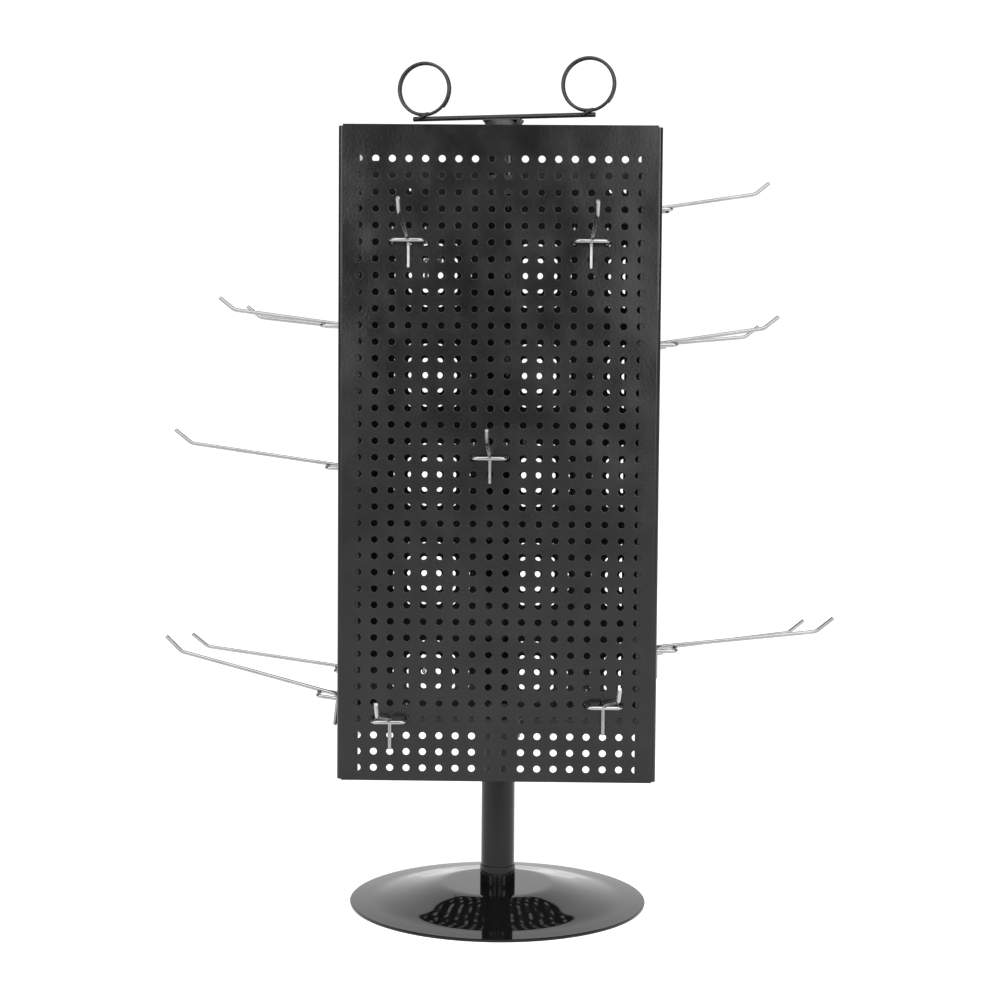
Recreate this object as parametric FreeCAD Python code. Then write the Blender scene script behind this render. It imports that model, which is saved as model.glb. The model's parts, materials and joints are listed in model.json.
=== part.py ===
import FreeCAD, Part
import math
import os

# Countertop rotating display rack.
# A dished steel base carries a fixed post. A square box of four perforated steel panels turns
# about the post on two nylon bushings, and wire hooks hang in the perforations. A card holder
# with two ring clips swivels in the open top of the post.
# Millimetres, +Z up, origin at the bottom centre of the base, -Y is the front face of the box.

V = FreeCAD.Vector

# ---------------------------------------------------------------- driving dimensions

# base dish
DISH_R = 124.0
DISH_SHEET = 1.6
PLATEAU_R = 44.0
PLATEAU_Z = 16.0
RIM_TOP_Z = 2.2
DISH_PROFILE = [(PLATEAU_R, PLATEAU_Z), (54.0, 14.6), (66.0, 11.8), (78.0, 9.0), (90.0, 6.5),
                (100.0, 4.5), (106.0, 3.7), (112.0, 3.2), (DISH_R, RIM_TOP_Z)]

# post and the parts that hold it
POST_R = 14.0
POST_BORE_R = 12.5
POST_TOP_Z = 643.5
FOOT_SLEEVE_R = 14.8
FOOT_SLEEVE_H = 15.6
INSERT_H = 20.0
BOLT_R = 5.0
BOLT_CLEARANCE_R = 5.5
BOLT_LEN = 22.0
BOLT_HEAD_AF = 17.0
BOLT_HEAD_H = 6.4
WASHER_R = 20.0
WASHER_H = 2.4

# stop collar and thrust washer under the box
COLLAR_Z = 139.0
COLLAR_H = 14.0
COLLAR_R = 18.0
SCREW_R = 2.5
SCREW_HEAD_R = 4.25
SCREW_HEAD_H = 2.6
SCREW_SEAT_R = 16.5
THRUST_H = 2.0
RUNNING_GAP = 0.05

# bushings and the straps that carry them
BUSH_R = 17.0
BUSH_FLANGE_R = 20.0
BUSH_FLANGE_H = 3.0
BUSH_BARREL_H = 12.0
STRAP_SHEET = 1.5
STRAP_W = 30.0
STRAP_TAB_H = 20.0
STRAP_PAD_R = 25.0
STRAP_CENTRE_HALF = 68.0
STRAP_RAMP_HALF = 76.0
LOWER_SKIRT_Z = 171.5
UPPER_STRAP_Z = 588.9
UPPER_STRAP_RISE = 12.0
UPPER_SKIRT_Z = 575.4

# perforated box
BOX_HALF = 124.0
SHEET = 1.2
FACE_W = 241.0
FACE_BOTTOM_Z = 127.0
FACE_TOP_Z = {"front": 633.0, "back": 630.6}
SIDE_BOTTOM_Z = 127.6
SIDE_TOP_Z = 631.8
CORNER_R = 3.4
LIP_EDGE_X = 107.5
PITCH = 12.7
COLUMNS = 18
ROWS = 38
HOLE_R = 2.7
TOP_ROW_Z = 607.0

# hooks: bent wire arm with a welded two-pronged staple
WIRE_R = 1.6
ARM_BEND_R = 4.5
TIP_BEND_R = 9.0
TIP_ANGLE = 39.0
STAPLE_OUT = 17.0
STAPLE_RISE = 0.5
STAPLE_BEND_R = 3.8
WELD_STEP = 3.0
PRONG_BACK = 4.9
PRONG_TOP = 12.0
LEG_GAP = 0.05
SHORT_HOOK = {"reach": 99.5, "tip": 15.0, "leg": 19.6}
LONG_HOOK = {"reach": 141.5, "tip": 17.3, "leg": 23.2}

# node name: face, row, column, size, arm slope, sideways set, lift (degrees)
HOOKS = {
    "hook_front_upper_left": ("front", 5, 3, SHORT_HOOK, 9.5, -0.8, 0.0),
    "hook_front_upper_right": ("front", 5, 14, SHORT_HOOK, 8.3, 1.0, 0.0),
    "hook_front_centre": ("front", 18, 8, SHORT_HOOK, 8.9, -0.2, 0.0),
    "hook_front_lower_left": ("front", 34, 2, LONG_HOOK, 10.6, 0.2, 0.0),
    "hook_front_lower_right": ("front", 33, 15, LONG_HOOK, 10.6, 2.6, 0.0),
    "hook_left_upper_front": ("left", 10, 14, SHORT_HOOK, 7.4, -0.5, 0.0),
    "hook_left_upper_rear": ("left", 10, 2, SHORT_HOOK, 6.1, 0.0, 0.0),
    "hook_left_centre": ("left", 19, 11, LONG_HOOK, 8.1, 1.0, 0.0),
    "hook_left_lower_front": ("left", 33, 16, LONG_HOOK, 9.0, 1.5, 6.2),
    "hook_left_lower_rear": ("left", 33, 5, LONG_HOOK, 8.0, 0.0, 0.0),
    "hook_right_top": ("right", 2, 11, SHORT_HOOK, 8.6, 0.0, 0.0),
    "hook_right_upper_front": ("right", 11, 5, SHORT_HOOK, 8.6, 0.0, 0.0),
    "hook_right_upper_rear": ("right", 11, 16, SHORT_HOOK, 5.3, 0.0, 0.0),
    "hook_right_lower_front": ("right", 30, 2, LONG_HOOK, 6.2, -0.5, 0.0),
    "hook_right_lower_rear": ("right", 32, 15, LONG_HOOK, 7.6, 0.0, 0.0),
    "hook_back_upper_left": ("back", 5, 3, SHORT_HOOK, 8.4, 0.0, 0.0),
    "hook_back_upper_right": ("back", 5, 14, SHORT_HOOK, 7.8, 0.8, 0.0),
    "hook_back_centre": ("back", 18, 8, SHORT_HOOK, 8.6, 0.0, 0.0),
    "hook_back_lower_left": ("back", 33, 2, LONG_HOOK, 8.6, 1.0, 0.0),
    "hook_back_lower_right": ("back", 34, 15, LONG_HOOK, 9.2, 0.0, 0.0),
}
FACE_TURN = {"front": 0.0, "right": 90.0, "back": 180.0, "left": -90.0}

# card holder
HOLDER_TURN = -13.3
PLUG_R = 12.42
PLUG_LEN = 30.0
PLUG_FLANGE_R = 14.0
PLUG_FLANGE_H = 3.0
PLUG_DOME_R = 12.1
PLUG_DOME_TOP = 651.5
PLUG_GAP = 0.05
SADDLE_SHEET = 1.4
SADDLE_W = 14.0
SADDLE_HALF = 17.0
SADDLE_FOOT_HALF = 13.4
SADDLE_DROP = 4.8
BAR_R = 2.0
BAR_HALF = 77.4
CLIP_WIRE_R = 1.4
CLIP_R = 21.2
CLIP_PITCH = 3.0
CLIP_REAR_Y = 4.03
CLIP_HALF_TURNS = [(136.0, 180.0), (0.0, 180.0), (0.0, 180.0), (0.0, 180.0), (0.0, 100.0)]
CLIP_BEAD_R = 1.9
CLIP_X = {"left_card_clip": -68.0, "right_card_clip": 71.5}


# ---------------------------------------------------------------- helpers

def tube(r_out, r_in, z0, height):
    """Upright ring or tube."""
    outer = Part.makeCylinder(r_out, height, V(0, 0, z0))
    return outer.cut(Part.makeCylinder(r_in, height + 2.0, V(0, 0, z0 - 1.0)))


def box(x0, x1, y0, y1, z0, z1):
    """Upright block between two corners."""
    return Part.makeBox(x1 - x0, y1 - y0, z1 - z0, V(x0, y0, z0))


def rounded_path(points, radii):
    """Wire of straight runs joined by tangent arcs; radii belong to the inner points."""
    edges = []
    start = points[0]
    for before, corner, after, radius in zip(points, points[1:], points[2:], radii):
        to_before = (before - corner).normalize()
        to_after = (after - corner).normalize()
        half = to_before.getAngle(to_after) / 2.0
        setback = radius / math.tan(half)
        middle = (to_before + to_after).normalize()
        first = corner + to_before * setback
        last = corner + to_after * setback
        crown = corner + middle * (radius / math.sin(half) - radius)
        edges.append(Part.LineSegment(start, first).toShape())
        edges.append(Part.Arc(first, crown, last).toShape())
        start = last
    edges.append(Part.LineSegment(start, points[-1]).toShape())
    return Part.Wire(edges)


def bent_wire(points, radii, wire_r):
    """Round wire bent along a path."""
    path = rounded_path(points, radii)
    heading = (points[1] - points[0]).normalize()
    section = Part.Wire(Part.makeCircle(wire_r, points[0], heading))
    return path.makePipeShell([section], True, False)


def polygon_prism(points, direction):
    """Solid swept from a closed flat polygon."""
    loop = Part.makePolygon(points + [points[0]])
    return Part.Face(loop).extrude(direction)


# ---------------------------------------------------------------- base and post

def base_dish():
    """Spun steel dish: flat plateau, concave flare, short rim standing on the counter."""
    top = [V(r, 0, z) for r, z in DISH_PROFILE]
    under = [V(r, 0, z - DISH_SHEET) for r, z in DISH_PROFILE[:-1]]
    under.append(V(DISH_R - DISH_SHEET, 0, RIM_TOP_Z - DISH_SHEET + 0.1))
    level = V(1, 0, 0)
    rim_slope = V(1, 0, -0.06)
    top_curve = Part.BSplineCurve()
    top_curve.interpolate(Points=top, InitialTangent=level, FinalTangent=rim_slope)
    under_curve = Part.BSplineCurve()
    under_curve.interpolate(Points=under, InitialTangent=level, FinalTangent=rim_slope)
    hole_top = V(BOLT_CLEARANCE_R, 0, PLATEAU_Z)
    hole_under = V(BOLT_CLEARANCE_R, 0, PLATEAU_Z - DISH_SHEET)
    rim_out = V(DISH_R, 0, 0)
    rim_in = V(DISH_R - DISH_SHEET, 0, 0)
    section = Part.Wire([
        Part.LineSegment(hole_top, top[0]).toShape(),
        top_curve.toShape(),
        Part.LineSegment(top[-1], rim_out).toShape(),
        Part.LineSegment(rim_out, rim_in).toShape(),
        Part.LineSegment(rim_in, under[-1]).toShape(),
        under_curve.toShape(),
        Part.LineSegment(under[0], hole_under).toShape(),
        Part.LineSegment(hole_under, hole_top).toShape(),
    ])
    return Part.Face(section).revolve(V(0, 0, 0), V(0, 0, 1), 360)


def post_tube():
    return tube(POST_R, POST_BORE_R, PLATEAU_Z, POST_TOP_Z - PLATEAU_Z)


def post_insert():
    """Threaded plug welded into the foot of the post."""
    return tube(POST_BORE_R, BOLT_R, PLATEAU_Z, INSERT_H)


def post_foot_sleeve():
    return tube(FOOT_SLEEVE_R, POST_R, PLATEAU_Z, FOOT_SLEEVE_H)


def base_washer():
    return tube(WASHER_R, BOLT_CLEARANCE_R, PLATEAU_Z - DISH_SHEET - WASHER_H, WASHER_H)


def base_bolt():
    """Hexagon bolt pulled up from under the dish into the insert."""
    seat = PLATEAU_Z - DISH_SHEET - WASHER_H
    corner_r = BOLT_HEAD_AF / math.sqrt(3.0)
    corners = []
    for k in range(6):
        angle = math.radians(60.0 * k)
        corners.append(V(corner_r * math.cos(angle), corner_r * math.sin(angle), seat - BOLT_HEAD_H))
    head = polygon_prism(corners, V(0, 0, BOLT_HEAD_H))
    return head.fuse(Part.makeCylinder(BOLT_R, BOLT_LEN, V(0, 0, seat)))


def stop_collar():
    """Clamped ring on the post that carries the weight of the box."""
    ring = tube(COLLAR_R, POST_R, COLLAR_Z, COLLAR_H)
    ring = ring.makeChamfer(0.8, [e for e in ring.Edges if is_ring_edge(e, COLLAR_R)])
    mid_z = COLLAR_Z + COLLAR_H / 2.0
    hole = Part.makeCylinder(SCREW_R, COLLAR_R, V(POST_R - 1.0, 0, mid_z), V(1, 0, 0))
    seat = Part.makeCylinder(SCREW_HEAD_R, COLLAR_R, V(SCREW_SEAT_R, 0, mid_z), V(1, 0, 0))
    return ring.cut(hole.fuse(seat))


def is_ring_edge(edge, radius):
    """True for a full circle of that radius."""
    return isinstance(edge.Curve, Part.Circle) and abs(edge.Curve.Radius - radius) < 0.01


def collar_screw():
    """Socket set screw through the collar, bearing on the post."""
    mid_z = COLLAR_Z + COLLAR_H / 2.0
    shank = Part.makeCylinder(SCREW_R, SCREW_SEAT_R - POST_R, V(POST_R, 0, mid_z), V(1, 0, 0))
    head = Part.makeCylinder(SCREW_HEAD_R, SCREW_HEAD_H, V(SCREW_SEAT_R, 0, mid_z), V(1, 0, 0))
    socket_corners = []
    for k in range(6):
        angle = math.radians(60.0 * k)
        socket_corners.append(V(SCREW_SEAT_R + SCREW_HEAD_H - 1.6, 1.7 * math.cos(angle),
                                mid_z + 1.7 * math.sin(angle)))
    return shank.fuse(head).cut(polygon_prism(socket_corners, V(3.0, 0, 0)))


def thrust_washer():
    z = COLLAR_Z + COLLAR_H
    return tube(COLLAR_R, POST_R + RUNNING_GAP, z, THRUST_H - 0.02)


# ---------------------------------------------------------------- turning box

def lower_strap_z():
    """Underside of the lower strap, which rests on the lower bushing's flange."""
    return COLLAR_Z + COLLAR_H + THRUST_H + BUSH_FLANGE_H


def lower_bushing():
    """Flanged nylon bushing; its flange turns on the thrust washer."""
    z = COLLAR_Z + COLLAR_H + THRUST_H
    flange = tube(BUSH_FLANGE_R, POST_R + RUNNING_GAP, z, BUSH_FLANGE_H)
    barrel = tube(BUSH_R, POST_R + RUNNING_GAP, z + BUSH_FLANGE_H, BUSH_BARREL_H)
    return flange.fuse(barrel).removeSplitter()


def upper_bushing():
    """Flanged nylon bushing let down into the upper strap."""
    z = UPPER_STRAP_Z + UPPER_STRAP_RISE + STRAP_SHEET
    flange = tube(BUSH_FLANGE_R, POST_R + RUNNING_GAP, z, BUSH_FLANGE_H)
    barrel = tube(BUSH_R, POST_R + RUNNING_GAP, z - BUSH_BARREL_H, BUSH_BARREL_H)
    return flange.fuse(barrel).removeSplitter()


def strap_step(rise, z):
    """Right half of a level line that rises towards the middle, from the end inwards."""
    if rise == 0.0:
        return []
    return [V(STRAP_RAMP_HALF, 0, z), V(STRAP_CENTRE_HALF, 0, z + rise)]


def across(right_half):
    """Whole outline from its right half, which runs from one level to the other."""
    return right_half + [V(-p.x, 0, p.z) for p in reversed(right_half)]


def strap(arm_z, rise, skirt_z):
    """Folded channel across the box: web, front and back skirts, and an end tab each side.

    The web rises in the middle and carries a round pad wider than the channel; the skirts run
    from the web to skirt_z and are notched to pass the bushing and the post.
    """
    inner = BOX_HALF - SHEET
    end = inner - STRAP_SHEET
    top = arm_z + STRAP_SHEET
    shift = V(0.8, 0, 0)
    under = [V(end, 0, arm_z)] + strap_step(rise, arm_z)
    over = [V(end, 0, top)] + [p + shift for p in strap_step(rise, top)]
    web = polygon_prism([p - V(0, STRAP_W / 2.0, 0) for p in across(under) + list(reversed(across(over)))],
                        V(0, STRAP_W, 0))
    if skirt_z > top:
        side = [V(end, 0, skirt_z), V(end, 0, arm_z), V(-end, 0, arm_z), V(-end, 0, skirt_z)]
        tab_low, tab_high = arm_z, arm_z + STRAP_TAB_H
    else:
        side = [V(end, 0, skirt_z)] + across(over) + [V(-end, 0, skirt_z)]
        tab_low, tab_high = top - STRAP_TAB_H, top
    body = web.fuse(Part.makeCylinder(STRAP_PAD_R, STRAP_SHEET, V(0, 0, arm_z + rise)))
    for y in (-STRAP_W / 2.0, STRAP_W / 2.0 - STRAP_SHEET):
        body = body.fuse(polygon_prism([p + V(0, y, 0) for p in side], V(0, STRAP_SHEET, 0)))
    for x in (-inner, end):
        body = body.fuse(box(x, x + STRAP_SHEET, -STRAP_W / 2.0, STRAP_W / 2.0, tab_low, tab_high))
    low = min(arm_z, skirt_z) - STRAP_SHEET
    high = max(top + rise, skirt_z) + STRAP_SHEET
    return body.removeSplitter().cut(Part.makeCylinder(BUSH_R, high - low, V(0, 0, low)))


def perforated_sheet(width, z0, z1, y0):
    """Flat sheet in the XZ plane with the peg-hole grid, SHEET thick towards +Y."""
    half = width / 2.0
    outline = Part.makePolygon([V(-half, y0, z0), V(half, y0, z0), V(half, y0, z1),
                                V(-half, y0, z1), V(-half, y0, z0)])
    loops = [outline]
    for row in range(ROWS):
        z = TOP_ROW_Z - PITCH * row
        for column in range(COLUMNS):
            x = PITCH * (column - (COLUMNS - 1) / 2.0)
            loops.append(Part.Wire(Part.makeCircle(HOLE_R, V(x, y0, z), V(0, 1, 0))))
    face = Part.makeFace(Part.makeCompound(loops), "Part::FaceMakerBullseye")
    return face.extrude(V(0, SHEET, 0))


def flat_panel(face):
    """Front or back panel, one flat sheet over the lips of the side panels."""
    sheet = perforated_sheet(FACE_W, FACE_BOTTOM_Z, FACE_TOP_Z[face], -BOX_HALF)
    sheet.rotate(V(0, 0, 0), V(0, 0, 1), FACE_TURN[face])
    return sheet


def side_panel(turn):
    """Side panel, modelled facing the front and turned: sheet with a rounded lip each side."""
    inner = BOX_HALF - SHEET
    flat_half = inner - CORNER_R
    sheet = perforated_sheet(2.0 * flat_half, SIDE_BOTTOM_Z, SIDE_TOP_Z, -BOX_HALF)
    height = V(0, 0, SIDE_TOP_Z - SIDE_BOTTOM_Z)
    z = SIDE_BOTTOM_Z
    lip_depth = BOX_HALF - LIP_EDGE_X
    pieces = [sheet]
    for side in (-1.0, 1.0):
        out_c = V(side * (inner - CORNER_R), -BOX_HALF + CORNER_R, z)
        diag = math.sqrt(0.5)
        inner_r = CORNER_R - SHEET
        a = V(side * flat_half, -BOX_HALF, z)
        b = out_c + V(side * CORNER_R * diag, -CORNER_R * diag, 0)
        c = V(side * inner, out_c.y, z)
        d = V(side * inner, -BOX_HALF + lip_depth, z)
        e = V(side * (inner - SHEET), -BOX_HALF + lip_depth, z)
        f = V(side * (inner - SHEET), out_c.y, z)
        g = out_c + V(side * inner_r * diag, -inner_r * diag, 0)
        h = V(side * flat_half, -BOX_HALF + SHEET, z)
        outline = Part.Wire([
            Part.Arc(a, b, c).toShape(),
            Part.LineSegment(c, d).toShape(),
            Part.LineSegment(d, e).toShape(),
            Part.LineSegment(e, f).toShape(),
            Part.Arc(f, g, h).toShape(),
            Part.LineSegment(h, a).toShape(),
        ])
        pieces.append(Part.Face(outline).extrude(height))
    panel = pieces[0].fuse(pieces[1:]).removeSplitter()
    panel.rotate(V(0, 0, 0), V(0, 0, 1), turn)
    return panel


# ---------------------------------------------------------------- hooks

def hook_shape(size, slope):
    """One hook facing -Y, with the prong row at the origin and the panel face at Y = 0."""
    rise = math.tan(math.radians(slope))
    leg_y = -(WIRE_R + LEG_GAP)
    weld_z = STAPLE_RISE + WELD_STEP

    def arm_z(out):
        return weld_z + (out - STAPLE_OUT) * rise

    tip_run = size["tip"] * math.cos(math.radians(TIP_ANGLE))
    tip_rise = size["tip"] * math.sin(math.radians(TIP_ANGLE))
    bend_out = size["reach"] - tip_run
    arm = bent_wire(
        [V(0, leg_y, -size["leg"]), V(0, leg_y, arm_z(-leg_y)), V(0, -bend_out, arm_z(bend_out)),
         V(0, -size["reach"], arm_z(bend_out) + tip_rise)],
        [ARM_BEND_R, TIP_BEND_R], WIRE_R)

    prong_drop = STAPLE_RISE / STAPLE_OUT * PRONG_BACK
    staple = bent_wire(
        [V(-PITCH, PRONG_BACK, PRONG_TOP), V(-PITCH, PRONG_BACK, -prong_drop),
         V(-PITCH, -STAPLE_OUT, STAPLE_RISE), V(PITCH, -STAPLE_OUT, STAPLE_RISE),
         V(PITCH, PRONG_BACK, -prong_drop), V(PITCH, PRONG_BACK, PRONG_TOP)],
        [STAPLE_BEND_R - 0.6, STAPLE_BEND_R, STAPLE_BEND_R, STAPLE_BEND_R - 0.6], WIRE_R)
    return arm.fuse(staple)


def placed_hook(face, row, column, size, slope, sideways, lift):
    """Hook hung in its holes, set a little sideways and lifted as it was left."""
    shape = hook_shape(size, slope)
    pivot = V(0, SHEET / 2.0, 0)
    shape.rotate(pivot, V(-1, 0, 0), lift)
    shape.rotate(pivot, V(0, 0, 1), sideways)
    x = PITCH * (column - (COLUMNS - 1) / 2.0)
    shape.translate(V(x, -BOX_HALF, TOP_ROW_Z - PITCH * row))
    shape.rotate(V(0, 0, 0), V(0, 0, 1), FACE_TURN[face])
    return shape


# ---------------------------------------------------------------- card holder

def turned(shape):
    """Card holder pieces stand turned a little from the box."""
    shape.rotate(V(0, 0, 0), V(0, 0, 1), HOLDER_TURN)
    return shape


def holder_plug():
    """Swivel plug: barrel in the post, flange on its end, domed button on top."""
    flange_z = POST_TOP_Z + PLUG_GAP
    dome_z = flange_z + PLUG_FLANGE_H
    barrel = Part.makeCylinder(PLUG_R, PLUG_LEN, V(0, 0, flange_z - PLUG_LEN))
    flange = Part.makeCylinder(PLUG_FLANGE_R, PLUG_FLANGE_H, V(0, 0, flange_z))
    dome = Part.makeCylinder(PLUG_DOME_R, PLUG_DOME_TOP - dome_z, V(0, 0, dome_z))
    rim = [e for e in dome.Edges if is_ring_edge(e, PLUG_DOME_R)
           and e.CenterOfMass.z > PLUG_DOME_TOP - 0.1]
    dome = dome.makeFillet(2.0, rim)
    return barrel.fuse([flange, dome])


def holder_saddle():
    """Bent strip between the plug and the bar, its ends folded down and inwards."""
    under = PLUG_DOME_TOP
    top = under + SADDLE_SHEET
    foot = top - SADDLE_DROP
    edge = SADDLE_SHEET * 1.15
    right = [V(SADDLE_HALF - edge - 0.9, 0, under), V(SADDLE_FOOT_HALF - edge, 0, foot),
             V(SADDLE_FOOT_HALF, 0, foot), V(SADDLE_HALF, 0, top)]
    left = [V(-p.x, 0, p.z) for p in reversed(right)]
    profile = [V(p.x, -SADDLE_W / 2.0, p.z) for p in right + left]
    return turned(polygon_prism(profile, V(0, SADDLE_W, 0)))


def bar_axis_z():
    return PLUG_DOME_TOP + SADDLE_SHEET + BAR_R


def holder_bar():
    bar = Part.makeCylinder(BAR_R, 2.0 * BAR_HALF, V(-BAR_HALF, 0, bar_axis_z()), V(1, 0, 0))
    return turned(bar.makeChamfer(0.3, [e for e in bar.Edges if is_ring_edge(e, BAR_R)]))


def clip_coil(x, centre_z):
    """Coil of tilted half turns, lower and upper by turns, which meet upright at the sides.

    Returns the solid and the middle of the wire at its front end.
    """
    pieces = []
    for k, (start, stop) in enumerate(CLIP_HALF_TURNS):
        side = 1.0 if k % 2 else -1.0
        y = CLIP_REAR_Y - k * CLIP_PITCH / 2.0
        near = V(x + side * CLIP_R, y, centre_z)
        middle = V(x, y - CLIP_PITCH / 4.0, centre_z)
        axis = (near - middle).cross(V(0, 0, side)).normalize()
        section = Part.Face(Part.Wire(Part.makeCircle(CLIP_WIRE_R, near, V(0, 0, 1))))
        section.rotate(middle, axis, start)
        pieces.append(section.revolve(middle, axis, stop - start))
        tip = middle + FreeCAD.Rotation(axis, stop).multVec(near - middle)
    return pieces[0].multiFuse(pieces[1:]), tip


def card_clip(x):
    """Two close turns of wire that pinch a card, with the tail welded across the bar."""
    coil, tip = clip_coil(x, bar_axis_z() + BAR_R + CLIP_R + CLIP_WIRE_R + 0.04)
    low = V(x - 4.5, -(BAR_R + CLIP_WIRE_R + 0.12), bar_axis_z() - 0.4)
    tail = Part.makeCylinder(CLIP_WIRE_R, (tip - low).Length, low, tip - low)
    bead = Part.makeSphere(CLIP_BEAD_R, tip)
    return turned(coil.fuse(tail).fuse(bead))


# ---------------------------------------------------------------- export

def parts():
    shapes = {
        "base_dish": base_dish(),
        "base_washer": base_washer(),
        "base_bolt": base_bolt(),
        "post_insert": post_insert(),
        "post_tube": post_tube(),
        "post_foot_sleeve": post_foot_sleeve(),
        "stop_collar": stop_collar(),
        "collar_screw": collar_screw(),
        "thrust_washer": thrust_washer(),
        "lower_bushing": lower_bushing(),
        "upper_bushing": upper_bushing(),
        "lower_strap": strap(lower_strap_z(), 0.0, LOWER_SKIRT_Z),
        "upper_strap": strap(UPPER_STRAP_Z, UPPER_STRAP_RISE, UPPER_SKIRT_Z),
        "front_panel": flat_panel("front"),
        "back_panel": flat_panel("back"),
        "right_panel": side_panel(90.0),
        "left_panel": side_panel(-90.0),
        "holder_plug": holder_plug(),
        "holder_saddle": holder_saddle(),
        "holder_bar": holder_bar(),
    }
    for name, x in CLIP_X.items():
        shapes[name] = card_clip(x)
    for name, spec in HOOKS.items():
        shapes[name] = placed_hook(*spec)
    return shapes


def main():
    os.makedirs("parts", exist_ok=True)
    for name, shape in parts().items():
        print("%-26s valid %s solids %d volume %.1f" % (name, shape.isValid(), len(shape.Solids),
                                                       shape.Volume))
        shape.exportStep("parts/%s.step" % name)


main()
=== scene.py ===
import json
import math

import bmesh
import bpy
import numpy as np
from mathutils import Matrix, Vector, noise


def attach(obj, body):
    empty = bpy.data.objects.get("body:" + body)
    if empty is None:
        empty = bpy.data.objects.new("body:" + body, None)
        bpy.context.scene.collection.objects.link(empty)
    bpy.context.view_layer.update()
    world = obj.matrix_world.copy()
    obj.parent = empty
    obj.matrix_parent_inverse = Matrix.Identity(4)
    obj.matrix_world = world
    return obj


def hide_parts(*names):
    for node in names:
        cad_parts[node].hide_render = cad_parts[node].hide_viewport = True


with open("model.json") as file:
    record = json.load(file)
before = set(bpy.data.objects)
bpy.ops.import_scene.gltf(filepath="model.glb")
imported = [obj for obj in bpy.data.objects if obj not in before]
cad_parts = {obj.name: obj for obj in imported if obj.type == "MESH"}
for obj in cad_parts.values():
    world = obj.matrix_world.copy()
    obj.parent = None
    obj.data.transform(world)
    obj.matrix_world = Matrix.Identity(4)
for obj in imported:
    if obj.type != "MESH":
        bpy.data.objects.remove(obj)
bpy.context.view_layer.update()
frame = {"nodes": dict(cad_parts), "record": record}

MM = 0.001

# ---------------------------------------------------------------- sizes, as in the CAD model (mm)

PITCH, COLUMNS, ROWS = 12.7, 18, 38
HOLE_R, TOP_ROW_Z = 2.7, 607.0
BOX_HALF, SHEET, CORNER_R, LIP_EDGE_X = 124.0, 1.2, 3.4, 107.5
FACE_W, FRONT_Z, BACK_Z = 241.0, (127.0, 633.0), (127.0, 630.6)
SIDE_Z = (127.6, 631.8)

DISH_R, DISH_SHEET, RIM_TOP_Z = 124.0, 1.6, 2.2
DISH_PROFILE = [(44.0, 16.0), (54.0, 14.6), (66.0, 11.8), (78.0, 9.0), (90.0, 6.5), (100.0, 4.5),
                (106.0, 3.7), (112.0, 3.2), (124.0, 2.2)]
DISH_END_SLOPE, DISH_SEAM_R = -0.06, 30.0
DISH_RIM = [(0.0, 1.9), (0.05, 0.35), (0.4, 0.0), (DISH_SHEET - 0.4, 0.0), (DISH_SHEET, 0.5)]
RIM_ROUND = 0.35
BOLT_HOLE_R = 5.5
POST_R, POST_BORE_R, PLATEAU_Z, POST_TOP_Z = 14.0, 12.5, 16.0, 643.5
SLEEVE_R, SLEEVE_TOP_Z = 14.8, 31.6

WIRE_R, ARM_BEND_R, TIP_BEND_R, TIP_ANGLE = 1.6, 4.5, 9.0, 39.0
STAPLE_OUT, STAPLE_RISE, STAPLE_BEND_R, WELD_STEP = 17.0, 0.5, 3.8, 3.0
PRONG_BACK, PRONG_TOP, LEG_GAP = 4.9, 12.0, 0.05
SHORT_HOOK = {"reach": 99.5, "tip": 15.0, "leg": 19.6}
LONG_HOOK = {"reach": 141.5, "tip": 17.3, "leg": 23.2}
# face, row and column of the hole between the two prongs, size, then in degrees the arm's slope,
# its turn sideways and its lift about the prongs
HOOKS = {
    "hook_front_upper_left": ("front", 5, 3, SHORT_HOOK, 9.5, -0.8, 0.0),
    "hook_front_upper_right": ("front", 5, 14, SHORT_HOOK, 8.3, 1.0, 0.0),
    "hook_front_centre": ("front", 18, 8, SHORT_HOOK, 8.9, -0.2, 0.0),
    "hook_front_lower_left": ("front", 34, 2, LONG_HOOK, 10.6, 0.2, 0.0),
    "hook_front_lower_right": ("front", 33, 15, LONG_HOOK, 10.6, 2.6, 0.0),
    "hook_left_upper_front": ("left", 10, 14, SHORT_HOOK, 7.4, -0.5, 0.0),
    "hook_left_upper_rear": ("left", 10, 2, SHORT_HOOK, 6.1, 0.0, 0.0),
    "hook_left_centre": ("left", 19, 11, LONG_HOOK, 8.1, 1.0, 0.0),
    "hook_left_lower_front": ("left", 33, 16, LONG_HOOK, 9.0, 1.5, 6.2),
    "hook_left_lower_rear": ("left", 33, 5, LONG_HOOK, 8.0, 0.0, 0.0),
    "hook_right_top": ("right", 2, 11, SHORT_HOOK, 8.6, 0.0, 0.0),
    "hook_right_upper_front": ("right", 11, 5, SHORT_HOOK, 8.6, 0.0, 0.0),
    "hook_right_upper_rear": ("right", 11, 16, SHORT_HOOK, 5.3, 0.0, 0.0),
    "hook_right_lower_front": ("right", 30, 2, LONG_HOOK, 6.2, -0.5, 0.0),
    "hook_right_lower_rear": ("right", 32, 15, LONG_HOOK, 7.6, 0.0, 0.0),
    "hook_back_upper_left": ("back", 5, 3, SHORT_HOOK, 8.4, 0.0, 0.0),
    "hook_back_upper_right": ("back", 5, 14, SHORT_HOOK, 7.8, 0.8, 0.0),
    "hook_back_centre": ("back", 18, 8, SHORT_HOOK, 8.6, 0.0, 0.0),
    "hook_back_lower_left": ("back", 33, 2, LONG_HOOK, 8.6, 1.0, 0.0),
    "hook_back_lower_right": ("back", 34, 15, LONG_HOOK, 9.2, 0.0, 0.0),
}
HOOK_PIVOT_Y = SHEET / 2.0
FACE_TURN = {"front": 0.0, "right": 90.0, "back": 180.0, "left": -90.0}

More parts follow.
